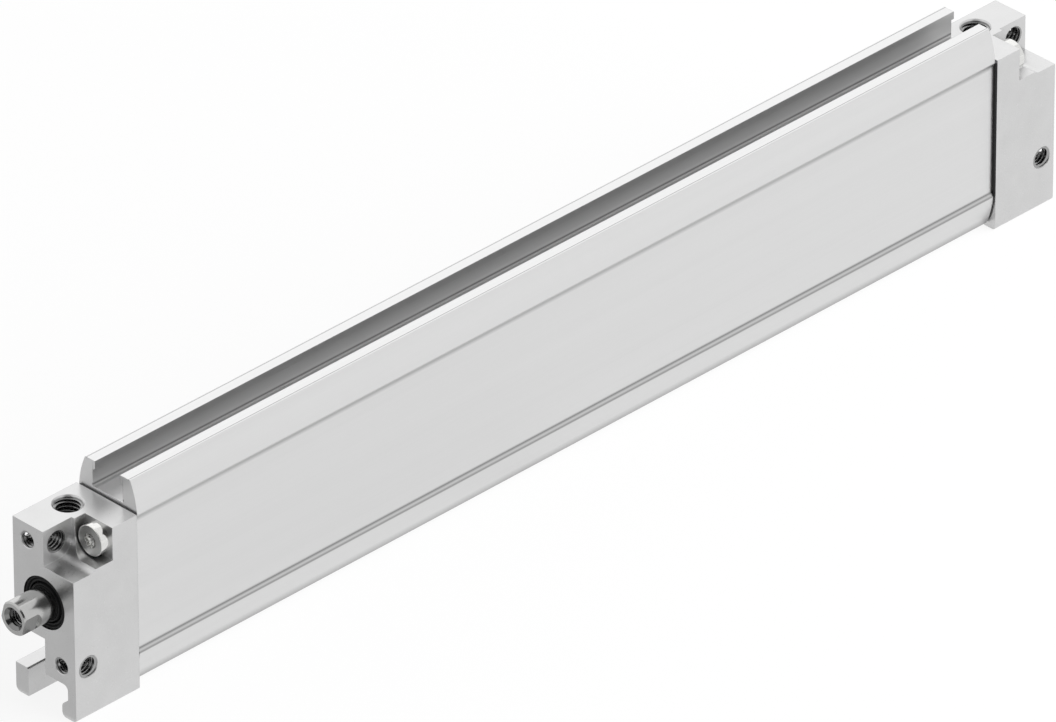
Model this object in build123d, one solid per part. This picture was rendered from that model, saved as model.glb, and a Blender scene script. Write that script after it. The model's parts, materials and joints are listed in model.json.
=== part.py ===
from build123d import *
import os
from math import sqrt

# Flat double-acting pneumatic cylinder, drawn with its rod fully in. Millimetres.
# The origin is on the rod axis at the bearing cap's front face. +X runs out along the rod,
# +Y points to the near side and +Z up. The body lies at negative X.

# Motion
stroke = 160.0
end_gap = 0.2               # piston to bumper at either end of the stroke

overcut = 1.0               # how far a cutter runs out past a face

# Barrel extrusion, as half sizes from the rod axis
panel_y = 6.42              # recessed side panel
panel_z = 12.2              # where the panel starts to ramp out to the rail
step_y = 6.75               # widest line of the rail
step_z = 13.05
rail_crown_y = 5.2          # outer edge of the rail's flat top
rail_z = 19.06              # top of the rails
rail_bulge = 0.30           # how far the rail's outer side bows out
ramp_bow = 0.06             # how far the ramp beside the panel bows in
rail_corner_r = 0.30
slot_floor_z = 14.09
slot_y = 3.47               # slot wall below the lips
slot_mouth_y = 2.90         # slot wall between the lips
lip_edge_h = 1.45           # upright part of a lip
lip_slope_h = 0.40          # sloped underside of a lip
bore_w = 9.0                # oblong bore, as large in area as a round one of 12 mm
bore_h = 14.6

# Caps
cap_len = 14.1
cap_y = 7.0
cap_top_z = 13.45
gasket_t = 0.35
gasket_inset = 0.12         # gasket edge behind the cap's edge
front_side_inset = 0.36     # the same at the sides of the front gasket, which doesn't show there
spigot_len = 2.5            # from the cap's inner face into the bore
spigot_gap = 0.04
groove_z = 13.6             # ceiling of the groove under a cap
near_leg_y = 5.16           # inner wall of the near leg
ceiling_r = 1.0
hook_wall_z = 16.4          # where the near leg's wall meets its hook
hook_y = 3.76               # tip of the hook
hook_z = 17.5
hook_r = 0.9
hook_root_r = 0.5
leg_z = 19.85               # lowest line of the legs
near_foot_r = 0.6
far_leg_y = 4.1             # inner wall of the far leg
far_leg_z = 19.75
far_foot_r = 1.0
far_leg_top_z = 14.35       # the far leg's bar below the screw pocket
rebate = 0.22               # small step along the top inner edge of that bar

# Screw pockets, near side at the top and far side at the bottom
pocket_z = 6.85             # pocket floor
pocket_len = 6.35           # depth of the front part, from the cap's face
pocket_mill_r = 3.0
screw_pcd = 22.0            # clamp screws and face threads share one circle
screw_y = 3.7
seat_depth = 8.7            # screw head's seat, from the cap's face
counterbore_r = 3.05

# Clamp screws
screw_d = 3.0
screw_tap_d = 2.5           # drilling for its thread, which is drawn at its core
screw_len = 12.0
head_d = 5.5
head_h = 1.85
head_chamfer = 0.3
thread_gap = 0.04           # radial, between a screw and its thread
screw_hole_gap = 0.2        # radial, where a screw passes through
thread_runout = 1.0         # thread beyond the screw's end

# Threads for the user
face_thread_d = 3.0         # cap faces
face_thread_len = 5.4
side_thread_d = 4.0         # cap sides
side_thread_x = 2.9         # from the cap's face
thread_chamfer = 0.10
port_d = 5.0
port_x = 8.75               # from the cap's face
port_y = -3.3
port_len = 5.3
port_chamfer = 0.25
pilot_d = 4.2               # drilling below the port's thread
pilot_len = 8.5
air_d = 1.4                 # drilling from the port to the bore
air_y = -1.8
air_z = 5.9

# Rod
rod_d = 6.0
rod_out = 6.84              # rod end to cap face with the rod in
rod_chamfer = 0.25
rod_thread_d = 3.0
rod_thread_len = 8.0
rod_thread_mouth_d = 4.2
flat_af = 5.0               # across the wrench flats
flat_len = 3.6
flat_mill_r = 2.2
flat_angle = -15.0          # of the near flat, up from +Y
stud_d = 3.0                # threaded end that carries the piston
stud_gap = 0.05             # radial, piston on stud

# Rod guide in the bearing cap
wiper_d = 9.5
wiper_depth = 2.0
wiper_inset = 0.25          # wiper rim below the cap's face
wiper_lip_t = 0.5
seal_bore_d = 9.2
spacer_t = 0.5              # washer between wiper and seal
seal_len = 3.2
bush_wall = 1.0
bush_len = 8.0
bush_chamfer = 0.15
rod_run_gap = 0.03          # radial, bush on rod
rod_seal_gap = 0.06         # radial, lips on rod
rod_free_gap = 0.30         # radial, everything that only surrounds the rod
ring_gap = 0.02             # radial, rings in their seats

# Piston
piston_gap = 0.15           # body to bore
slide_gap = 0.05            # bands and lips to bore
half_len = 13.3
magnet_len = 4.4
magnet_gap = 0.35
bumper_t = 1.5
bumper_gap = 0.12
land_w = 0.9                # wall between nut recess, seal groove and band groove
seal_groove_w = 2.4
seal_groove_depth = 1.3
band_groove_w = 4.2
band_groove_depth = 0.7
groove_gap = 0.05
lip_groove_w = 0.5
lip_groove_depth = 1.2
nut_af = 5.5
nut_h = 2.4
nut_recess_gap = 0.35
o_ring_cord = 1.0
o_ring_squeeze = 0.8        # depth of its counterbore
o_ring_side_gap = 0.08

# Derived places
screw_z = sqrt((screw_pcd / 2) ** 2 - screw_y ** 2)
piston_len = 2 * half_len + magnet_len
chamber_len = stroke + piston_len + 2 * end_gap
barrel_len = chamber_len + 2 * (bumper_t + spigot_len - gasket_t)
barrel_front = -cap_len - gasket_t
barrel_rear = barrel_front - barrel_len
body_rear = barrel_rear - gasket_t - cap_len
middle = Plane.YZ.offset(body_rear / 2)
piston_rear = body_rear + cap_len + spigot_len + bumper_t + end_gap
piston_front = piston_rear + piston_len
magnet_rear = piston_rear + half_len
magnet_front = magnet_rear + magnet_len
spacer_rear = -wiper_depth - spacer_t
seal_rear = spacer_rear - seal_len
bush_rear = seal_rear - bush_len
spigot_rear = -cap_len - spigot_len
bush_r = rod_d / 2 + rod_run_gap + bush_wall
recess_len = nut_h + 2 * end_gap
seal_groove_from = recess_len + land_w
band_groove_from = seal_groove_from + seal_groove_w + land_w


def prism(sketch, x_low, x_high):
    """Extrudes a YZ sketch along X between two places."""
    return extrude(Plane.YZ.offset(x_low) * sketch, amount=x_high - x_low)


def bar(radius, start, end, end_radius=None):
    """Round bar, or a cone where the end has a radius of its own."""
    axis = Vector(*end) - Vector(*start)
    base = (Align.CENTER, Align.CENTER, Align.MIN)
    if end_radius is None:
        solid = Cylinder(radius, axis.length, align=base)
    else:
        solid = Cone(radius, end_radius, axis.length, align=base)
    return Plane(origin=start, z_dir=axis) * solid


def ring(outer_r, inner_r, x_low, x_high):
    """Plain ring round the rod axis."""
    return bar(outer_r, (x_low, 0, 0), (x_high, 0, 0)) - bar(inner_r, (x_low, 0, 0), (x_high, 0, 0))


def oblong(inset=0.0):
    """The bore's section, made smaller by an inset all round."""
    return SlotOverall(bore_h - 2 * inset, bore_w - 2 * inset, rotation=90)


def rounded_outline(corners):
    """Closed YZ outline from (y, z, corner radius) points."""
    face = make_face(Polyline(*[(y, z) for y, z, _ in corners], close=True))
    for y, z, radius in corners:
        if radius:
            face = fillet(face.vertices().sort_by_distance((y, z, 0))[0], radius)
    return face


def diagonal(solid):
    """A cutter on the near side at the top and its copy turned half round the rod axis."""
    return solid + Rot(180, 0, 0) * solid


def tapped_hole(diameter, mouth, inward, length, chamfer_size):
    """Cutter for a threaded hole at its nominal size, with a broken edge at the mouth."""
    mouth, inward = Vector(*mouth), Vector(*inward)
    hole = bar(diameter / 2, mouth - inward * chamfer_size, mouth + inward * length)
    wide = diameter / 2 + 2 * chamfer_size
    return hole + bar(wide, mouth - inward * chamfer_size, mouth + inward * chamfer_size, diameter / 2)


def barrel_section():
    """One quarter of the extrusion, mirrored twice, less the oblong bore."""
    lip_z = rail_z - lip_edge_h
    straight = Polyline(
        (panel_y, panel_z), (panel_y, 0), (0, 0), (0, slot_floor_z), (slot_y, slot_floor_z),
        (slot_y, lip_z - lip_slope_h), (slot_mouth_y, lip_z), (slot_mouth_y, rail_z),
        (rail_crown_y, rail_z),
    )
    rail_side = SagittaArc((rail_crown_y, rail_z), (step_y, step_z), rail_bulge)
    ramp = SagittaArc((step_y, step_z), (panel_y, panel_z), -ramp_bow)
    quarter = make_face(straight + rail_side + ramp)
    crown = quarter.vertices().sort_by_distance((rail_crown_y, rail_z, 0))[0]
    quarter = fillet(crown, rail_corner_r)
    half = quarter + mirror(quarter, about=Plane.YZ)
    return half + mirror(half, about=Plane.XZ) - oblong()


def barrel_profile():
    """The extrusion with a threaded hole for each clamp screw."""
    barrel = prism(barrel_section(), barrel_rear, barrel_front)
    depth = screw_len - (cap_len - seat_depth) - gasket_t + thread_runout
    hole = bar(screw_tap_d / 2, (barrel_front - depth, screw_y, screw_z), (barrel_front, screw_y, screw_z))
    holes = diagonal(hole)
    return barrel - holes - mirror(holes, about=middle)


def cap_section():
    """Block with a groove below, between a hooked near leg and a plain far leg."""
    return rounded_outline([
        (cap_y, cap_top_z, 0),
        (-cap_y, cap_top_z, 0),
        (-cap_y, -far_leg_z, far_foot_r),
        (-far_leg_y, -far_leg_z, 0),
        (-far_leg_y, -groove_z, 0),
        (near_leg_y, -groove_z, ceiling_r),
        (near_leg_y, -hook_wall_z, hook_root_r),
        (hook_y, -hook_z, hook_r),
        (hook_y, -leg_z, hook_r),
        (cap_y, -leg_z, near_foot_r),
    ])


def screw_pocket(top_z):
    """Pocket milled across the cap's front corner, with a deeper counterbore for the head."""
    past = cap_y + overcut
    corner_x, corner_z = -pocket_len + pocket_mill_r, pocket_z + pocket_mill_r
    side = Plane.XZ.offset(-past)
    milled = Rectangle(overcut + pocket_len, top_z - pocket_z, align=(Align.MAX, Align.MIN))
    milled = Pos(overcut, pocket_z) * milled
    sharp = Pos(corner_x, corner_z) * Rectangle(pocket_mill_r, pocket_mill_r, align=(Align.MAX, Align.MAX))
    section = milled - (sharp - Pos(corner_x, corner_z) * Circle(pocket_mill_r))
    front = extrude(side * section, amount=past)
    head_room = Pos(screw_y, screw_z) * Circle(counterbore_r)
    left, low = screw_y - counterbore_r, screw_z - counterbore_r
    corner = (Align.MIN, Align.MIN)
    head_room += Pos(left, screw_z) * Rectangle(past - left, top_z - screw_z, align=corner)
    head_room += Pos(screw_y, low) * Rectangle(past - screw_y, top_z - low, align=corner)
    return front + prism(head_room, -seat_depth, -pocket_len + pocket_mill_r)


def cap_block():
    """Everything that both caps share, at the front end."""
    block = prism(cap_section(), -cap_len, 0)
    block += prism(oblong(spigot_gap), spigot_rear, -cap_len)
    block -= screw_pocket(cap_top_z + overcut)
    block -= Rot(180, 0, 0) * screw_pocket(far_leg_top_z)
    edge = Pos(-far_leg_y, -far_leg_top_z) * Rectangle(2 * rebate, 2 * rebate)
    block -= prism(edge, -seat_depth, overcut)
    through_r = screw_d / 2 + screw_hole_gap
    through = bar(through_r, (-cap_len - overcut, screw_y, screw_z), (-seat_depth, screw_y, screw_z))
    block -= diagonal(through)
    mouth, length = (0, screw_y, -screw_z), face_thread_len
    face_thread = tapped_hole(face_thread_d, mouth, (-1, 0, 0), length, thread_chamfer)
    block -= diagonal(face_thread)
    mouth, length = (-side_thread_x, cap_y, -screw_z), cap_y + overcut
    cross = tapped_hole(side_thread_d, mouth, (0, -1, 0), length, thread_chamfer)
    block -= diagonal(cross)
    block -= tapped_hole(port_d, (-port_x, port_y, cap_top_z), (0, 0, -1), port_len, port_chamfer)
    block -= bar(pilot_d / 2, (-port_x, port_y, cap_top_z), (-port_x, port_y, cap_top_z - pilot_len))
    return block - bar(air_d / 2, (spigot_rear, air_y, air_z), (-port_x, air_y, air_z))


def bearing_cap():
    """Shared block, bored in steps from the front for wiper, spacer, seal and bush."""
    cap = cap_block()
    cap -= bar(wiper_d / 2, (-wiper_depth, 0, 0), (0, 0, 0))
    cap -= bar(seal_bore_d / 2, (seal_rear, 0, 0), (-wiper_depth, 0, 0))
    cap -= bar(bush_r, (bush_rear, 0, 0), (seal_rear, 0, 0))
    return cap - bar(rod_d / 2 + rod_free_gap, (spigot_rear, 0, 0), (bush_rear, 0, 0))


def end_cap():
    """Shared block at the rear, closed behind the piston."""
    return mirror(cap_block(), about=middle)


def gasket(side_inset):
    """Flat gasket in the joint between cap and barrel, at the front end."""
    width, height = 2 * (cap_y - side_inset), 2 * (min(cap_top_z, groove_z) - gasket_inset)
    sheet = RectangleRounded(width, height, rail_corner_r) - oblong(-spigot_gap)
    sheet = prism(sheet, barrel_front, -cap_len)
    hole_r = screw_d / 2 + screw_hole_gap
    return sheet - diagonal(bar(hole_r, (barrel_front, screw_y, screw_z), (-cap_len, screw_y, screw_z)))


def cap_screws():
    """Two cheese-head screws in their pockets, at the front end."""
    head = bar(head_d / 2, (-seat_depth, screw_y, screw_z), (-seat_depth + head_h, screw_y, screw_z))
    head = chamfer(head.edges().group_by(Axis.X)[-1], head_chamfer)
    shank_end = -seat_depth - screw_len
    core_r = screw_tap_d / 2 - thread_gap
    shank = bar(core_r, (shank_end, screw_y, screw_z), (-seat_depth, screw_y, screw_z))
    screw = head + shank
    return Compound(children=[screw, Rot(180, 0, 0) * screw])


def rod_wiper():
    """Scraper ring: a flat rim in its seat, a channel, and a lip that rises to the rod."""
    outer_r, lip_r = wiper_d / 2 - ring_gap, rod_d / 2 + rod_seal_gap
    channel_r = lip_r + wiper_lip_t
    rim_r = (channel_r + outer_r) / 2
    outline = Polyline(
        (-wiper_depth, outer_r), (-wiper_inset, outer_r), (-wiper_inset, rim_r),
        (-2 * wiper_inset - wiper_lip_t, channel_r), (-wiper_inset / 2, lip_r + wiper_lip_t / 2),
        (-wiper_inset / 2, lip_r), (-wiper_depth / 2, rod_d / 2 + rod_free_gap),
        (-wiper_depth, rod_d / 2 + rod_free_gap), close=True,
    )
    return revolve(make_face(outline), Axis.X)


def rod_bearing_bush():
    """Plain bush, pressed in from the front as far as the step in its bore."""
    bush = ring(bush_r - ring_gap, rod_d / 2 + rod_run_gap, bush_rear, seal_rear)
    return chamfer(bush.edges().filter_by(GeomType.CIRCLE).sort_by(SortBy.RADIUS)[:2], bush_chamfer)


def rod_seal():
    """Lipped ring with its open side towards the pressure."""
    outer_r, inner_r = seal_bore_d / 2 - ring_gap, rod_d / 2 + rod_seal_gap
    body = ring(outer_r, inner_r, seal_rear, spacer_rear)
    middle_r = (outer_r + inner_r) / 2
    half_split = lip_groove_w / 2
    split = ring(middle_r + half_split, middle_r - half_split, seal_rear, seal_rear + lip_groove_depth)
    return body - split


def seal_spacer():
    """Thin washer between the wiper and the seal."""
    return ring(seal_bore_d / 2 - ring_gap, rod_d / 2 + rod_free_gap, spacer_rear, -wiper_depth)


def bumper(hole_r):
    """Oblong plate on the front spigot, notched where the air comes in."""
    plate = prism(oblong(bumper_gap), spigot_rear - bumper_t, spigot_rear)
    plate -= bar(hole_r, (spigot_rear - bumper_t, 0, 0), (spigot_rear, 0, 0))
    return plate - bar(air_d, (spigot_rear - bumper_t, air_y, air_z), (spigot_rear, air_y, air_z))


def piston_rod():
    """Rod with a stud for the piston, wrench flats and a female thread in its end."""
    stud_rear = piston_rear + end_gap
    rod = bar(rod_d / 2, (piston_front, 0, 0), (rod_out, 0, 0))
    rod = chamfer(rod.edges().group_by(Axis.X)[-1], rod_chamfer)
    rod += bar(stud_d / 2, (stud_rear, 0, 0), (piston_front, 0, 0))
    half_af = flat_af / 2
    reach = Pos(rod_out, 0) * Rectangle(2 * (flat_len - flat_mill_r), 2 * flat_mill_r)
    reach += Pos(rod_out - flat_len + flat_mill_r, 0) * Circle(flat_mill_r)
    flat = extrude(Plane.XY.offset(half_af) * reach, amount=rod_d)
    for turn in (flat_angle, flat_angle + 180):
        rod -= Rot(turn - 90, 0, 0) * flat
    thread_r, mouth_r = rod_thread_d / 2, rod_thread_mouth_d / 2
    rod -= bar(thread_r, (rod_out - rod_thread_len, 0, 0), (rod_out, 0, 0))
    return rod - bar(thread_r, (rod_out - mouth_r + thread_r, 0, 0), (rod_out, 0, 0), mouth_r)


def half_groove(from_face, width, depth):
    """Cutter for a groove round a piston half whose outer face is at x = 0."""
    return prism(oblong() - oblong(piston_gap + depth), -from_face - width, -from_face)


def piston_half():
    """One half of the piston, with its outer face at x = 0 and its body behind it."""
    half = prism(oblong(piston_gap), -half_len, 0)
    half -= half_groove(seal_groove_from, seal_groove_w, seal_groove_depth)
    half -= half_groove(band_groove_from, band_groove_w, band_groove_depth)
    return half - bar(stud_d / 2 + stud_gap, (-half_len, 0, 0), (0, 0, 0))


def piston_front_half():
    """Half at the rod's shoulder, with a counterbore for the static seal."""
    seat = bar(stud_d / 2 + o_ring_cord + stud_gap, (-o_ring_squeeze, 0, 0), (0, 0, 0))
    return Pos(piston_front, 0, 0) * (piston_half() - seat)


def piston_rear_half():
    """Half at the rear, with a recess that hides the nut."""
    recess_r = nut_af / 3 ** 0.5 + nut_recess_gap
    half = mirror(piston_half(), about=Plane.YZ)
    half -= bar(recess_r, (0, 0, 0), (recess_len, 0, 0))
    return Pos(piston_rear, 0, 0) * half


def piston_magnet():
    """Oblong ring between the halves."""
    plate = prism(oblong(piston_gap + magnet_gap), magnet_rear, magnet_front)
    return plate - bar(stud_d / 2 + stud_gap, (magnet_rear, 0, 0), (magnet_front, 0, 0))


def piston_seal():
    """Oblong lipped seal in the groove of a half whose outer face is at x = 0."""
    low, high = -seal_groove_from - seal_groove_w + groove_gap, -seal_groove_from - groove_gap
    floor = piston_gap + seal_groove_depth - groove_gap
    band = prism(oblong(slide_gap) - oblong(floor), low, high)
    centre = (slide_gap + floor) / 2
    split = oblong(centre - lip_groove_w / 2) - oblong(centre + lip_groove_w / 2)
    return band - prism(split, high - lip_groove_depth, high)


def guide_band():
    """Oblong slide band in the groove of a half whose outer face is at x = 0."""
    low, high = -band_groove_from - band_groove_w + groove_gap, -band_groove_from - groove_gap
    return prism(oblong(slide_gap) - oblong(piston_gap + band_groove_depth - groove_gap), low, high)


def at_front(solid):
    """Moves a piece of the front half to its place."""
    return Pos(piston_front, 0, 0) * solid


def at_rear(solid):
    """Turns a piece of a half round for the rear half and moves it to its place."""
    return Pos(piston_rear, 0, 0) * mirror(solid, about=Plane.YZ)


def piston_nut():
    """Hexagon nut on the rod's stud, in the rear half's recess."""
    low = piston_rear + 2 * end_gap
    hexagon = RegularPolygon(nut_af / 2, 6, major_radius=False)
    return prism(hexagon, low, low + nut_h) - bar(stud_d / 2, (low, 0, 0), (low + nut_h, 0, 0))


def piston_o_ring():
    """Static seal, squeezed to a square cord between the rod's shoulder and the front half."""
    inner_r = stud_d / 2 + stud_gap + o_ring_side_gap
    outer_r = stud_d / 2 + stud_gap + o_ring_cord - o_ring_side_gap
    return ring(outer_r, inner_r, piston_front - o_ring_squeeze, piston_front)


nodes = {
    "barrel_profile": barrel_profile(),
    "bearing_cap": bearing_cap(),
    "end_cap": end_cap(),
    "front_gasket": gasket(front_side_inset),
    "rear_gasket": mirror(gasket(gasket_inset), about=middle),
    "front_cap_screws": cap_screws(),
    "rear_cap_screws": mirror(cap_screws(), about=middle),
    "rod_wiper": rod_wiper(),
    "rod_bearing_bush": rod_bearing_bush(),
    "rod_seal": rod_seal(),
    "seal_spacer": seal_spacer(),
    "front_bumper": bumper(rod_d / 2 + rod_free_gap),
    "rear_bumper": mirror(bumper(rod_d / 2 + rod_free_gap), about=middle),
    "piston_rod": piston_rod(),
    "piston_front_half": piston_front_half(),
    "piston_rear_half": piston_rear_half(),
    "piston_magnet": piston_magnet(),
    "piston_seal_front": at_front(piston_seal()),
    "piston_seal_rear": at_rear(piston_seal()),
    "guide_band_front": at_front(guide_band()),
    "guide_band_rear": at_rear(guide_band()),
    "piston_nut": piston_nut(),
    "piston_o_ring": piston_o_ring(),
}

os.makedirs("parts", exist_ok=True)
for name, shape in nodes.items():
    export_step(shape, f"parts/{name}.step")
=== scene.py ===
import json
from math import atan2, cos, hypot, radians, sin, tau

import bmesh
import bpy
from mathutils import Matrix, Vector


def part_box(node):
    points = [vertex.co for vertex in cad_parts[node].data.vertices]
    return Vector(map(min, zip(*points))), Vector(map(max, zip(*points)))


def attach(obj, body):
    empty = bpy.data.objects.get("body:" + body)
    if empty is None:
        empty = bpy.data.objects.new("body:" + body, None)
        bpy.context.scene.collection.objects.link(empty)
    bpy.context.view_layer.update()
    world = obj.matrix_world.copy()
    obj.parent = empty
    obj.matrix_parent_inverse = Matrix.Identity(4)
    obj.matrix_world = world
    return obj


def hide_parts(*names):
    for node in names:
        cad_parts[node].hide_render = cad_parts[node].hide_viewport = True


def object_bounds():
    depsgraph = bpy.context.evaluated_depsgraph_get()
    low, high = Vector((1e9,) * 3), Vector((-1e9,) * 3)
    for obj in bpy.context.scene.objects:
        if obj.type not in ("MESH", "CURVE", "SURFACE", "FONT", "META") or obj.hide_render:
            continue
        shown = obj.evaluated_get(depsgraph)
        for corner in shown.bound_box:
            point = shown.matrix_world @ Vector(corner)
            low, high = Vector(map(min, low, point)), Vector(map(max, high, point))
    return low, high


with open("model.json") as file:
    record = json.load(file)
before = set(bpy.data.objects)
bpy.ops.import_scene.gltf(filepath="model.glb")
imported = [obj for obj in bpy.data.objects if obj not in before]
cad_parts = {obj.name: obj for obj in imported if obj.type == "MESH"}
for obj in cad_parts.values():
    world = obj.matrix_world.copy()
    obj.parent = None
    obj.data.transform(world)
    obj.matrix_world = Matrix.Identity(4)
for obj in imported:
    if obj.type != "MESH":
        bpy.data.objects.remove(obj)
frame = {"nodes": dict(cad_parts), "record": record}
cad_low, cad_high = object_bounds()
nodes = frame["nodes"]
mounts = frame["record"]["mounts"]
scene = bpy.context.scene

mm = 0.001
overlap = 0.02 * mm             # how far a thread's root runs into the wall that carries it
touch = 0.001 * mm              # places closer than this are the same


# Materials

usual_range = {"From Min": 0.3, "From Max": 0.7}        # where a noise's values mostly lie


def linear(code):
    """An sRGB hex colour in the linear values that a shader takes."""
    shares = [int(code[i:i + 2], 16) / 255 for i in (1, 3, 5)]
    return (*[s / 12.92 if s <= 0.04045 else ((s + 0.055) / 1.055) ** 2.4 for s in shares], 1.0)


def add(tree, kind, inputs=None, **settings):
    """Adds a shader node with its settings. An input takes a value, or another node's output."""
    made = tree.nodes.new("ShaderNode" + kind)
    for name, value in settings.items():
        setattr(made, name, value)
    for name, value in (inputs or {}).items():
        if isinstance(value, bpy.types.NodeSocket):
            tree.links.new(value, made.inputs[name])
        else:
            made.inputs[name].default_value = value
    return made


def start_material(name):
    """An empty material and its node tree."""
    material = bpy.data.materials.new(name)
    material.use_nodes = True
    material.node_tree.nodes.clear()
    return material, material.node_tree


def start_finish(name):
    """A piece's material, its node tree and the place on the piece."""
    material, tree = start_material(name)
    return material, tree, add(tree, "TexCoord").outputs["Object"]


def pattern(tree, place, size):
    """Noise whose cells are as large as size says along X, Y and Z, in millimetres."""
    scale = [1 / (length * mm) for length in size]
    mapped = add(tree, "Mapping", {"Vector": place, "Scale": scale}).outputs["Vector"]
    return add(tree, "TexNoise", {"Vector": mapped, "Scale": 1.0, "Detail": 3.0}).outputs["Fac"]


def tinted(tree, noise, dark, light):
    """Colour from dark to light, as a noise goes over its usual range."""
    dark, light = Vector(linear(dark)[:3]), Vector(linear(light)[:3])
    amount = add(tree, "MapRange", {"Value": noise, **usual_range}).outputs["Result"]
    inputs = {0: amount, 1: light - dark, 2: dark}
    return add(tree, "VectorMath", inputs, operation="MULTIPLY_ADD").outputs["Vector"]


def toned(tree, colour, mask, share):
    """The colour, times the share where the mask is 1."""
    kept = add(tree, "MapRange", {"Value": mask, "To Min": 1.0, "To Max": share}).outputs["Result"]
    return add(tree, "VectorMath", {0: colour, "Scale": kept}, operation="SCALE").outputs["Vector"]


def finish(material, tree, colour, roughness, reliefs, edge_radius=0.0, **settings):
    """The material's surface. Roughness is a value, or a noise with the roughness at its two
    ends. Every sharp edge looks rounded off to a radius, and each relief is a pattern and its
    depth, all in millimetres. A setting's underscores stand for spaces."""
    if isinstance(roughness, tuple):
        noise, low, high = roughness
        spread = {"Value": noise, **usual_range, "To Min": low, "To Max": high}
        roughness = add(tree, "MapRange", spread).outputs["Result"]
    inputs = {name.replace("_", " "): value for name, value in settings.items()}
    inputs.update({"Base Color": colour, "Roughness": roughness})
    if edge_radius:
        edges = add(tree, "Bevel", {"Radius": edge_radius * mm}, samples=6)
        inputs["Normal"] = edges.outputs["Normal"]
    for height, depth in reliefs:
        relief = {"Height": height, "Distance": depth * mm}
        if "Normal" in inputs:
            relief["Normal"] = inputs["Normal"]
        inputs["Normal"] = add(tree, "Bump", relief).outputs["Normal"]
    surface = add(tree, "BsdfPrincipled", inputs).outputs["BSDF"]
    add(tree, "OutputMaterial", {"Surface": surface})
    return material


def near_line(tree, place, side, line, reach):
    """A band along the bar and its mirror image on the far side. The line is a place across and
    up from the rod axis, and reach says how near, both in millimetres. The band is 1 on the
    line and fades to 0 above and below it. It lies on the top side (1), the underside (-1) or
    both (0)."""
    axes = add(tree, "SeparateXYZ", {"Vector": place}).outputs
    across = add(tree, "Math", {0: axes["Y"]}, operation="ABSOLUTE").outputs["Value"]
    if side:
        rise = add(tree, "Math", {0: axes["Z"], 1: side}, operation="MULTIPLY")
    else:
        rise = add(tree, "Math", {0: axes["Z"]}, operation="ABSOLUTE")
    level = {0: across, 1: line[0] * mm, 2: reach[0] * mm}
    level = add(tree, "Math", level, operation="COMPARE").outputs["Value"]
    off = add(tree, "Math", {0: rise.outputs["Value"], 1: line[1] * mm}, operation="SUBTRACT")
    off = add(tree, "Math", {0: off.outputs["Value"]}, operation="ABSOLUTE").outputs["Value"]
    fade = {"Value": off, "From Min": 0.0, "From Max": reach[1] * mm, "To Min": 1.0, "To Max": 0.0}
    fade = add(tree, "MapRange", fade).outputs["Result"]
    return add(tree, "Math", {0: level, 1: fade}, operation="MULTIPLY").outputs["Value"]


# Painted shade: bands darkened on the ramps, slot walls and corners and the lower edge, and painted dark
# lines along the rail crowns.
painted_shade_marks = [                   # side, place across and up, reach across and up, share of colour left
    (1, (6.5, 12.5), (0.4, 0.8), 0.62),         # upper ramp
    (-1, (6.5, 12.4), (0.4, 0.30), 0.40),       # lower ramp: its upper edge, all of it, lower edge
    (-1, (6.5, 12.65), (0.4, 0.75), 0.76),
    (-1, (6.5, 13.12), (0.4, 0.32), 0.44),
    (-1, (5.9, 18.9), (1.0, 1.9), 0.62),        # lowest edge of the side
    (0, (4.85, 19.05), (0.08, 0.3), 0.50),      # crown of the rail
    (0, (2.88, 18.2), (0.08, 6.0), 0.70),       # slot wall between the lips
    (0, (3.45, 17.0), (0.13, 1.95), 0.76),      # slot wall below the lips, upper and lower part
    (0, (3.45, 15.4), (0.13, 2.2), 0.87),
    (0, (3.4, 14.5), (0.30, 0.3), 0.32),        # corner of the slot's floor
]


def anodised_extrusion():
    """Clear anodised 6060 extrusion. Etching before the bath leaves it silky, and the die
    leaves fine lines along the bar, so the side panel shows long, very faint streaks. Painted
    shade darkens bands along the ramps beside the panel, the slot's walls and corners and the
    lower edge, and painted dark lines run along the crowns of the rails."""
    material, tree, place = start_finish("clear_anodised_extrusion")
    die_lines = pattern(tree, place, (90, 0.35, 0.35))
    broad = pattern(tree, place, (160, 3.0, 3.0))
    grain = pattern(tree, place, (0.30, 0.22, 0.22))        # etch grain, coarser than the real 0.05
    colour = tinted(tree, broad, "#DADADA", "#DCDCDC")
    # painted shade and painted dark lines, band by band
    for side, line, reach, share in painted_shade_marks:
        colour = toned(tree, colour, near_line(tree, place, side, line, reach), share)
    roughness = (die_lines, 0.33, 0.42)
    reliefs = [(die_lines, 0.003), (grain, 0.003)]
    return finish(material, tree, colour, roughness, reliefs, edge_radius=0.07, Metallic=1.0)


def machined_aluminium():
    """Milled 6082 block, matt anodised. The cutter leaves a fine lay that softens reflections
    across it, and the bath leaves a slight grain."""
    material, tree, place = start_finish("milled_anodised_aluminium")
    lay = pattern(tree, place, (0.16, 6.0, 0.16))
    grain = pattern(tree, place, (0.24, 0.24, 0.24))        # coarser than the real 0.03, to show
    colour = tinted(tree, pattern(tree, place, (4.0, 4.0, 4.0)), "#CDCDCD", "#D1D1D1")
    roughness = (grain, 0.27, 0.36)
    reliefs = [(lay, 0.004), (grain, 0.004)]
    return finish(material, tree, colour, roughness, reliefs, edge_radius=0.09, Metallic=1.0)


def cut_thread():
    """Cut aluminium flanks, smoother than the anodised faces, coloured darker by painted shade."""
    material, tree, place = start_finish("cut_aluminium_thread")
    chatter = pattern(tree, place, (0.2, 0.2, 0.2))
    # Painted shade: darker than the cap's metal, for the shade inside the holes.
    colour = tinted(tree, chatter, "#949494", "#A6A6A6")
    return finish(material, tree, colour, 0.24, [(chatter, 0.004)], Metallic=1.0)


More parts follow.
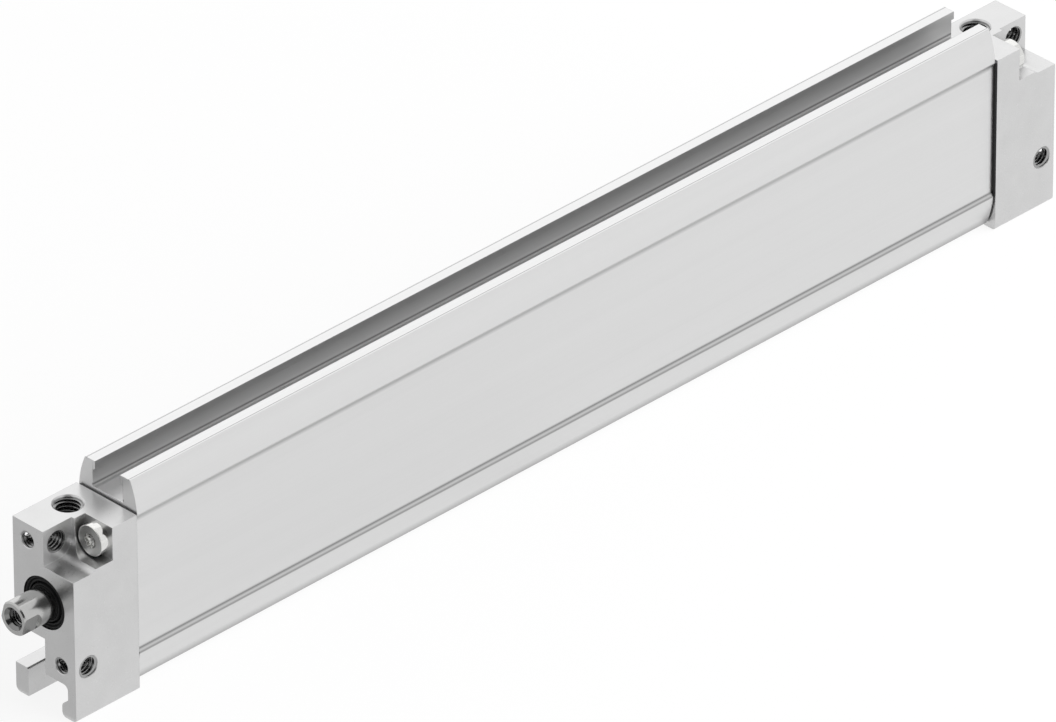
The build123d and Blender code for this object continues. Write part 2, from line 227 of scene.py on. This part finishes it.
def ground_rod():
    """Ground and polished stainless steel. Grinding leaves hairline rings round the rod, and the
    polish makes it nearly a mirror. The drilled mouth of its thread is darkened by painted shade."""
    material, tree, place = start_finish("polished_stainless_rod")
    mouth_radius, mouth_shade_share = 2.08 * mm, 0.45             # share of the colour left in the mouth, by painted shade
    rings = pattern(tree, place, (0.10, 30.0, 30.0))        # hairlines, coarser than the real 0.01
    colour = tinted(tree, rings, "#B3B3B2", "#C0C0BF")
    from_axis = add(tree, "VectorMath", {0: place, 1: (0, 1, 1)}, operation="MULTIPLY")
    from_axis = add(tree, "VectorMath", {0: from_axis.outputs["Vector"]}, operation="LENGTH")
    # Painted shade: the colour is darker within the mouth's radius of the rod axis.
    mouth = {0: from_axis.outputs["Value"], 1: mouth_radius}
    mouth = add(tree, "Math", mouth, operation="LESS_THAN").outputs["Value"]
    colour = toned(tree, colour, mouth, mouth_shade_share)
    roughness, reliefs = (rings, 0.14, 0.20), [(rings, 0.0015)]
    return finish(material, tree, colour, roughness, reliefs, edge_radius=0.05, Metallic=1.0)


def turned_steel():
    """Turned and nickel-plated steel. The tool leaves fine rings round the axis, read from the
    distance in millimetres that each screw's mesh holds for itself. Its face is duller than the
    stamped recess and the sides."""
    material, tree, place = start_finish("nickel_plated_steel")
    ring_width = 0.14                                       # coarser than the usual feed of 0.05
    recess_rim, face_rim = (1.25, 1.35), (2.55, 2.70)       # where the roughness changes
    in_recess, on_face, on_sides = 0.15, 0.34, 0.10         # roughness
    from_axis = add(tree, "Attribute", attribute_name="from_axis").outputs["Fac"]
    count = add(tree, "Math", {0: from_axis, 1: ring_width}, operation="DIVIDE").outputs["Value"]
    rings = {"W": count, "Scale": 1.0, "Detail": 2.0}
    rings = add(tree, "TexNoise", rings, noise_dimensions="1D").outputs["Fac"]
    grain = pattern(tree, place, (0.2, 0.2, 0.2))           # of the plating, usually about 0.01
    zones = []
    for (start, end), inner, outer in ((recess_rim, in_recess, on_face), (face_rim, on_face, on_sides)):
        zone = {"Value": from_axis, "From Min": start, "From Max": end, "To Min": inner, "To Max": outer}
        zones.append(add(tree, "MapRange", zone).outputs["Result"])
    roughness = add(tree, "Math", {0: zones[0], 1: zones[1]}, operation="MINIMUM").outputs["Value"]
    colour = tinted(tree, grain, "#D6D6D4", "#E0E0DE")
    reliefs = [(rings, 0.003), (grain, 0.002)]
    return finish(material, tree, colour, roughness, reliefs, edge_radius=0.05, Metallic=1.0)


def moulded_rubber():
    """Moulded black nitrile rubber: dull, a little uneven, with a soft highlight on its ridges. A
    painted highlight makes the gaskets' top edge lighter grey."""
    material, tree, place = start_finish("moulded_black_rubber")
    # Painted highlight: the colour is lighter grey from this height up, along the gaskets' top edge.
    top_highlight_from, top_highlight_to, top_highlight_gain = 12.9 * mm, 13.1 * mm, 16.0
    skin = pattern(tree, place, (0.35, 0.35, 0.35))         # coarser than the usual 0.05, to show
    colour = tinted(tree, skin, "#0F0F10", "#171718")
    rise = add(tree, "SeparateXYZ", {"Vector": place}).outputs["Z"]
    top_highlight = add(tree, "MapRange", {"Value": rise, "From Min": top_highlight_from, "From Max": top_highlight_to})
    colour = toned(tree, colour, top_highlight.outputs["Result"], top_highlight_gain)
    roughness, reliefs = (skin, 0.5, 0.65), [(skin, 0.008)]
    return finish(
        material, tree, colour, roughness, reliefs, edge_radius=0.06, IOR=1.52,
        Specular_IOR_Level=0.25)


def sintered_bronze():
    """Oil-filled sintered bronze: brown-gold with open pores."""
    material, tree, place = start_finish("sintered_bronze")
    pores = pattern(tree, place, (0.12, 0.12, 0.12))        # coarser than the usual 0.03, to show
    colour = tinted(tree, pores, "#8A6433", "#C29A5B")
    return finish(material, tree, colour, 0.42, [(pores, 0.01)], Metallic=1.0)


def slide_polymer():
    """Turned PTFE compound: waxy off-white with faint tool rings."""
    material, tree, place = start_finish("turned_slide_polymer")
    rings = pattern(tree, place, (0.15, 20.0, 20.0))
    colour = tinted(tree, rings, "#DCD8CC", "#E8E4DA")
    return finish(material, tree, colour, 0.38, [(rings, 0.004)], IOR=1.38)


def bonded_ferrite():
    """Plastic bonded ferrite: dark grey with fine powder glints."""
    material, tree, place = start_finish("bonded_ferrite")
    powder = pattern(tree, place, (0.08, 0.08, 0.08))       # coarser than the usual 0.01, to show
    colour = tinted(tree, powder, "#2A2A2C", "#4A4A4C")
    return finish(material, tree, colour, 0.5, [(powder, 0.004)], Metallic=0.3)


thread_finish = cut_thread()
plated = turned_steel()
rubber = moulded_rubber()
finish_of_slot = {
    "anodised_barrel": anodised_extrusion(), "machined_cap": machined_aluminium(),
    "plated_screw": plated, "polished_rod": ground_rod(), "steel": plated,
    "bronze_bush": sintered_bronze(), "black_rubber": rubber, "slide_polymer": slide_polymer(),
    "magnet": bonded_ferrite(),
}
for part in frame["record"]["subparts"]:
    nodes[part["node"]].material_slots[0].material = finish_of_slot[part["material_slot"]]


# Pieces

def new_object(bm, name, material):
    """An object with one material, from a bmesh."""
    mesh = bpy.data.meshes.new(name)
    bm.to_mesh(mesh)
    bm.free()
    mesh.materials.append(material)
    made = bpy.data.objects.new(name, mesh)
    scene.collection.objects.link(made)
    return made


def finished(bm, name, body, slot, material, smooth_below=35.0):
    """A piece that hangs on the CAD body that carries it. Its corners are smooth up to an angle."""
    piece = new_object(bm, name, material)
    piece.data.shade_smooth()
    piece.data.set_sharp_from_angle(angle=radians(smooth_below))
    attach(piece, body)
    return piece


def facing(axis, origin):
    """Matrix that turns +Z to an axis and moves the origin to a place."""
    return Matrix.Translation(origin) @ Vector(axis).to_track_quat("Z", "Y").to_matrix().to_4x4()


def loop(bm, points):
    """Closed loop of edges through a few points of the XZ plane."""
    verts = [bm.verts.new((radius, 0, height)) for radius, height in points]
    return verts + [bm.edges.new(pair) for pair in zip(verts, verts[1:] + verts[:1])]


def close_ends(bm):
    """Fills what is open and turns every face outwards."""
    bmesh.ops.holes_fill(bm, edges=[edge for edge in bm.edges if edge.is_boundary])
    bmesh.ops.triangulate(bm, faces=[face for face in bm.faces if len(face.verts) > 4])
    bmesh.ops.recalc_face_normals(bm, faces=bm.faces)


def trim(bm, height, keep_above):
    """Cuts a piece off at a height of its own Z axis."""
    everything = bm.verts[:] + bm.edges[:] + bm.faces[:]
    normal = (0, 0, -1 if keep_above else 1)
    bmesh.ops.bisect_plane(
        bm, geom=everything, plane_co=(0, 0, height), plane_no=normal, clear_outer=True)


# Threads that the cylinder's user screws into

steps_per_turn = 28
pitch_of_radius = {1.5: 0.5, 2.0: 0.7, 2.5: 0.8}        # M3, M4 and M5 coarse, in millimetres
ridge_reach = {                 # where a ridge starts and ends below the hole's mouth, in millimetres
    "face": (0.1, 5.4), "side": (0.1, 7.0), "port": (0.45, 5.3), "end": (1.1, 8.0)}
inner_form = (0.541, 0.4375, 0.125)     # ridge height, half width of its root and tip, per pitch
outer_form = (0.6134, 0.375, 0.0625)

head_radius, head_height = 2.75 * mm, 1.85 * mm         # of a clamp screw
screw_side, screw_rise = (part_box("front_cap_screws")[1][axis] - head_radius for axis in (1, 2))
cap_front, cap_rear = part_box("bearing_cap")[1].x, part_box("end_cap")[0].x
cap_side, cap_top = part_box("bearing_cap")[1].y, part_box("bearing_cap")[1].z
rod_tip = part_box("piston_rod")[1].x


def helix(bm, outer, inner, pitch, turns):
    """Winds a ridge round the Z axis. Its outer and inner side are each a radius and half of
    the side's width."""
    (outer_radius, outer_half), (inner_radius, inner_half) = outer, inner
    section = [
        (outer_radius, -outer_half), (inner_radius, -inner_half), (inner_radius, inner_half),
        (outer_radius, outer_half)]
    bmesh.ops.spin(
        bm, geom=loop(bm, section), cent=(0, 0, 0), axis=(0, 0, 1),
        dvec=(0, 0, pitch / steps_per_turn), angle=tau * turns,
        steps=round(steps_per_turn * turns), use_merge=False)


def thread_mouth(mount):
    """Place on the thread's axis where it leaves the metal."""
    place, axis = Vector(mount["pos_m"]), Vector(mount["axis"])
    if mount["name"].startswith("rod"):
        place.x = rod_tip
    elif axis.x:
        place.x = cap_front if axis.x > 0 else cap_rear
    elif axis.y:
        place.y = cap_side * axis.y
    else:
        place.z = cap_top
    return place


def thread(name, mouth, axis, radius):
    """One threaded hole, with its sizes in metres."""
    kind = next(word for word in ridge_reach if word in name)
    start, end = ridge_reach[kind]
    return {
        "name": name, "mouth": mouth, "inward": -Vector(axis), "radius": radius * mm,
        "pitch": pitch_of_radius[radius] * mm, "start": start * mm, "end": end * mm,
        "body": "rod" if kind == "end" else "housing",
        "slot": "polished_rod" if kind == "end" else "machined_cap",
    }


def threads():
    """Every threaded hole of the record. The two of a face pattern are the clamp screws' mirror
    images, below the rod on the near side and above it on the far side."""
    for mount in mounts:
        name, axis = mount["name"], mount["axis"]
        if mount["kind"] == "threaded_hole":
            yield thread(name, thread_mouth(mount), axis, mount["dims"]["r_mm"])
        elif mount["kind"] == "bolt_pattern":
            for side, turn in (("near", 1), ("far", -1)):
                mouth = Vector((mount["pos_m"][0], turn * screw_side, -turn * screw_rise))
                yield thread(f"{name}_{side}", mouth, axis, mount["dims"]["hole_r_mm"])


def open_to(point, hole):
    """Whether a point of one thread's wall lies in the space of another hole."""
    reach = point - hole["mouth"]
    along = reach.dot(hole["inward"])
    from_axis = (reach - along * hole["inward"]).length
    return 0 < along < hole["end"] and from_axis < hole["radius"]


def thread_ridge(hole, crossing):
    """Ridge of a metric thread on the wall of its hole, left out where another hole crosses. It
    is wound a turn too long at both ends and trimmed there."""
    wall, pitch, start, end = hole["radius"] + overlap, hole["pitch"], hole["start"], hole["end"]
    height, root_half, tip_half = (share * pitch for share in inner_form)
    tip = hole["radius"] - height
    bm = bmesh.new()
    helix(bm, (wall, root_half), (tip, tip_half), pitch, (end - start) / pitch + 2)
    bmesh.ops.translate(bm, verts=bm.verts, vec=(0, 0, start - pitch))
    place = facing(hole["inward"], hole["mouth"])
    lost = []
    for vert in bm.verts:
        outward = Vector((vert.co.x, vert.co.y, 0)).normalized()
        share = (outward.xy.angle_signed(Vector((1, 0)), 0) / tau) % 1
        turn = round((vert.co.z - start) / pitch - share)
        on_wall = outward * wall + Vector((0, 0, start + (turn + share) * pitch))
        if any(open_to(place @ on_wall, other) for other in crossing):
            lost.append(vert)
    bmesh.ops.delete(bm, geom=lost, context="VERTS")
    bmesh.ops.holes_fill(bm, edges=[edge for edge in bm.edges if edge.is_boundary])
    trim(bm, start, keep_above=True)
    trim(bm, end, keep_above=False)
    close_ends(bm)
    bm.transform(place)
    finished(bm, hole["name"] + "_ridge", hole["body"], hole["slot"], thread_finish)


all_threads = list(threads())
for hole in all_threads:
    thread_ridge(hole, [other for other in all_threads if other is not hole])


# Clamp screws: low cheese heads with a six-lobe recess

head_rounding = 0.12 * mm
face_margin = 0.02 * mm         # narrow border of a head's flat face, which keeps its shading flat
lobe_count, lobe_mean, lobe_swing, lobe_rounding = 6, 1.12 * mm, 0.15 * mm, 0.03 * mm
recess_depth, recess_dish = 0.5 * mm, 0.2       # the dish is a share of the lobes' mean radius
centre_size = 0.1                               # of the recess's floor
screw_radius, screw_length, screw_pitch = 1.5 * mm, 12.0 * mm, 0.5 * mm
screw_core = screw_radius - outer_form[0] * screw_pitch
crest_gap = 0.04 * mm           # from the thread's crest to the screw's nominal radius
bare_turns, tip_run = 1.5, 0.4                  # without thread, and below its start, in pitches
around = 72                     # corners in each circle of a head


def at_head_top(face):
    """Whether all corners of a face lie at the top of a screw's head."""
    return all(abs(vert.co.z - head_height) < touch for vert in face.verts)


def pull(bm, edges, lift=0.0, size=1.0):
    """Extrudes a closed row of edges along Z, wider or narrower, and returns the new row."""
    made = bmesh.ops.extrude_edge_only(bm, edges=edges)["geom"]
    verts = [part for part in made if isinstance(part, bmesh.types.BMVert)]
    bmesh.ops.translate(bm, verts=verts, vec=(0, 0, lift))
    bmesh.ops.scale(bm, verts=verts, vec=(size, size, 1))
    return [part for part in made if isinstance(part, bmesh.types.BMEdge)]


def round_off(bm, edges, radius, segments):
    """Rounds edges off to a radius."""
    bmesh.ops.bevel(
        bm, geom=edges, offset=radius, segments=segments, profile=0.5, affect="EDGES", material=-1)


def screw_body(bm):
    """Head, recess and core of a screw in one shell."""
    base = bmesh.ops.create_circle(bm, segments=around, radius=head_radius)["verts"]
    base_edges = list({edge for vert in base for edge in vert.link_edges})
    top = pull(bm, base_edges, lift=head_height)
    lobe_edges = pull(bm, top, size=lobe_mean / head_radius)
    for vert in {vert for edge in lobe_edges for vert in edge.verts}:
        angle = atan2(vert.co.y, vert.co.x)
        radius = lobe_mean + lobe_swing * cos(lobe_count * angle)
        vert.co = (cos(angle) * radius, sin(angle) * radius, head_height)
    floor_edges = pull(bm, lobe_edges, lift=-recess_depth)
    pull(bm, floor_edges, lift=-recess_dish * lobe_mean, size=centre_size)
    neck = pull(bm, base_edges, size=(screw_core + overlap) / head_radius)
    pull(bm, neck, lift=-screw_length)
    bmesh.ops.holes_fill(bm, edges=[edge for edge in bm.edges if edge.is_boundary])
    round_off(bm, [edge for edge in top if edge.is_valid], head_rounding, segments=5)
    round_off(bm, [edge for edge in lobe_edges if edge.is_valid], lobe_rounding, segments=2)
    bmesh.ops.recalc_face_normals(bm, faces=bm.faces)
    flat = [face for face in bm.faces if at_head_top(face)]
    bmesh.ops.inset_region(bm, faces=flat, thickness=face_margin, use_even_offset=True)


def screw_thread(bm):
    """Ridge of a screw's thread."""
    _, root_half, tip_half = (share * screw_pitch for share in outer_form)
    crest, turns = screw_radius - crest_gap, screw_length / screw_pitch - bare_turns
    helix(bm, (crest, tip_half), (screw_core, root_half), screw_pitch, turns)
    bmesh.ops.translate(bm, verts=bm.verts, vec=(0, 0, -screw_length + tip_run * screw_pitch))
    close_ends(bm)


def clamp_screw(name, replaced, axis, seat):
    """One screw. Its seat is at z = 0 of its own axis and its head above that."""
    bm, ridge = bmesh.new(), bmesh.new()
    screw_body(bm)
    screw_thread(ridge)
    joined = bpy.data.meshes.new(name + "_thread")
    ridge.to_mesh(joined)
    ridge.free()
    bm.from_mesh(joined)
    bpy.data.meshes.remove(joined)
    from_axis = bm.verts.layers.float.new("from_axis")
    for vert in bm.verts:
        vert[from_axis] = hypot(vert.co.x, vert.co.y) / mm
    bm.transform(facing(axis, seat))
    piece = finished(bm, name, "housing", "plated_screw", plated)
    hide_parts(replaced)


def clamp_screws():
    """Two screws at each end, on a line through the rod axis."""
    for end, outward in (("front", 1), ("rear", -1)):
        node = f"{end}_cap_screws"
        low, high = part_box(node)
        face = high.x if outward > 0 else low.x
        for row, turn in (("upper", 1), ("lower", -1)):
            seat = Vector((face - outward * head_height, turn * screw_side, turn * screw_rise))
            clamp_screw(f"{end}_{row}_screw", node, (outward, 0, 0), seat)


clamp_screws()


# Rod wiper

wiper_front = [                 # in from the outer edge and back from the lip's tip, in millimetres
    (0.00, 0.32), (0.16, 0.14), (0.42, 0.14),           # rim
    (0.60, 0.45), (0.80, 0.22), (1.00, 0.22),           # groove and middle ridge
    (1.22, 0.85), (1.42, 0.00),                         # groove and rise to the lip
]
lip_radius, lip_length, behind_lip_radius = 3.06, 0.9, 3.3
wiper_steps = 96


def rod_wiper():
    """Scraper ring with a flat rim, a rounded middle ridge and a lip that rises to the rod."""
    low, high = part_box("rod_wiper")
    outer, tip, rear = high.z / mm, high.x / mm, low.x / mm
    section = [(outer, rear)] + [(outer - inward, tip - depth) for inward, depth in wiper_front]
    section += [(lip_radius, tip), (behind_lip_radius, tip - lip_length), (behind_lip_radius, rear)]
    bm = bmesh.new()
    ring = loop(bm, [(radius * mm, height * mm) for radius, height in section])
    bmesh.ops.spin(
        bm, geom=ring, cent=(0, 0, 0), axis=(0, 0, 1), angle=tau, steps=wiper_steps, use_merge=True)
    bmesh.ops.remove_doubles(bm, verts=bm.verts, dist=touch)
    bmesh.ops.recalc_face_normals(bm, faces=bm.faces)
    bm.transform(facing((1, 0, 0), (0, 0, 0)))
    piece = finished(bm, "rod_wiper_lips", "housing", "black_rubber", rubber, smooth_below=50.0)
    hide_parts("rod_wiper")


rod_wiper()


# Camera, fitted to the photograph

camera_azimuth, camera_elevation, camera_roll = radians(135.182), radians(32.017), radians(-0.166)
camera_target = Vector((-109.404, 0.0, -2.788)) * mm
camera_distance = 2631.41 * mm
sensor_width, lens = 36.0, 545.91

back = Vector((
    sin(camera_azimuth) * cos(camera_elevation), -cos(camera_azimuth) * cos(camera_elevation),
    sin(camera_elevation)))
right = Vector((cos(camera_azimuth), sin(camera_azimuth), 0))
up = back.cross(right)
across = right * cos(camera_roll) + up * sin(camera_roll)
upright = up * cos(camera_roll) - right * sin(camera_roll)

camera_data = bpy.data.cameras.new("camera")
camera_data.sensor_width, camera_data.lens = sensor_width, lens
camera_data.clip_start, camera_data.clip_end = 0.1, 20.0
camera = bpy.data.objects.new("camera", camera_data)
turned = Matrix((across, upright, back)).transposed().to_4x4()
camera.matrix_world = Matrix.Translation(camera_target + back * camera_distance) @ turned
scene.collection.objects.link(camera)
scene.camera = camera


# Studio, with lengths in metres

middle = (cad_low + cad_high) / 2
room_fill = 0.33                # world brightness for what it lights, beside 1 for what is seen
glow_seen, glow_mirrored = 0.88, 0.75           # share of the floor that is plain white
floor_half, wall_radius, wall_distance, card_half = 6.0, 0.85, 1.5, 0.06
card_start, card_middle_y = 0.5 * mm, -0.04


def softbox(name, place, size, watts, mirrored):
    """Square lamp at a place seen from the object's middle, mirrored in the metal or not."""
    data = bpy.data.lights.new(name, "AREA")
    data.shape, data.size, data.energy = "SQUARE", size, watts
    lamp = bpy.data.objects.new(name, data)
    lamp.location = middle + Vector(place)
    lamp.rotation_euler = (-Vector(place)).to_track_quat("-Z", "Y").to_euler()
    lamp.visible_camera, lamp.visible_glossy = False, mirrored
    scene.collection.objects.link(lamp)


def ray_is(tree, *kinds):
    """1 for rays of any of the kinds, such as Camera or Glossy, otherwise 0."""
    path = add(tree, "LightPath").outputs
    found = path[f"Is {kinds[0]} Ray"]
    for kind in kinds[1:]:
        pair = {0: found, 1: path[f"Is {kind} Ray"]}
        found = add(tree, "Math", pair, operation="MAXIMUM").outputs["Value"]
    return found


def white_room():
    """World that is white to look at and gives the object a plain, even fill."""
    scene.world = bpy.data.worlds.new("white_room")
    scene.world.use_nodes = True
    tree = scene.world.node_tree
    tree.nodes.clear()
    fill = add(tree, "Background", {"Color": linear("#FFFFFF"), "Strength": room_fill})
    white = add(tree, "Background", {"Color": linear("#FFFFFF"), "Strength": 1.0})
    seen = ray_is(tree, "Camera", "Glossy", "Transmission")
    mix = add(tree, "MixShader", {0: seen, 1: fill.outputs[0], 2: white.outputs[0]})
    add(tree, "OutputWorld", {"Surface": mix.outputs[0]})


def studio_floor():
    """Pale floor under the legs. Most of it is plain white to the camera and in the metal, and
    the rest keeps the object's shadow."""
    bm = bmesh.new()
    bmesh.ops.create_grid(bm, x_segments=1, y_segments=1, size=floor_half)
    bmesh.ops.translate(bm, verts=bm.verts, vec=(middle.x, middle.y, cad_low.z - overlap))
    material, tree = start_material("pale_floor")
    paper = add(tree, "BsdfDiffuse", {"Color": linear("#F4F4F4")})
    white = add(tree, "Emission", {"Color": linear("#FFFFFF"), "Strength": 1.0})
    seen = ray_is(tree, "Camera", "Glossy", "Transmission")
    share = add(tree, "Math", {0: seen, 1: glow_mirrored}, operation="MULTIPLY").outputs["Value"]
    share = {0: ray_is(tree, "Camera"), 1: glow_seen - glow_mirrored, 2: share}
    share = add(tree, "Math", share, operation="MULTIPLY_ADD").outputs["Value"]
    mix = add(tree, "MixShader", {0: share, 1: paper.outputs[0], 2: white.outputs[0]})
    add(tree, "OutputMaterial", {"Surface": mix.outputs[0]})
    floor = new_object(bm, "studio_floor", material)


def card(name, bm, finish_name, shader, colour):
    """Card that only the metal mirrors, with a shader of one colour."""
    material, tree = start_material(finish_name)
    surface = add(tree, shader, {"Color": linear(colour)})
    add(tree, "OutputMaterial", {"Surface": surface.outputs[0]})
    piece = new_object(bm, name, material)
    piece.visible_camera = piece.visible_diffuse = piece.visible_shadow = False


def dark_wall():
    """Dark cloth across the camera's line of sight, which the camera itself doesn't see. Edges
    and threads that face the camera mirror it."""
    bm = bmesh.new()
    bmesh.ops.create_circle(bm, cap_ends=True, segments=32, radius=wall_radius)
    bm.transform(facing(-back, middle + back * wall_distance))
    card("dark_wall", bm, "dark_cloth", "BsdfDiffuse", "#3A3A3A")


def front_card():
    """Grey card on the floor in front of the rod end, which the front faces mirror. It glows
    evenly, so that no shadow falls on it."""
    bm = bmesh.new()
    bmesh.ops.create_grid(bm, x_segments=1, y_segments=1, size=card_half)
    bmesh.ops.translate(bm, verts=bm.verts, vec=(card_start + card_half, card_middle_y, cad_low.z))
    card("front_card", bm, "grey_card", "Emission", "#D4D4D4")


softbox("far_side_softbox", (-0.70, -0.70, 0.64), size=1.6, watts=2.4, mirrored=True)
softbox("near_side_softbox", (-0.95, 1.10, 0.80), size=2.2, watts=62.0, mirrored=False)
white_room()
studio_floor()
dark_wall()
front_card()
scene.view_settings.view_transform = "Standard"
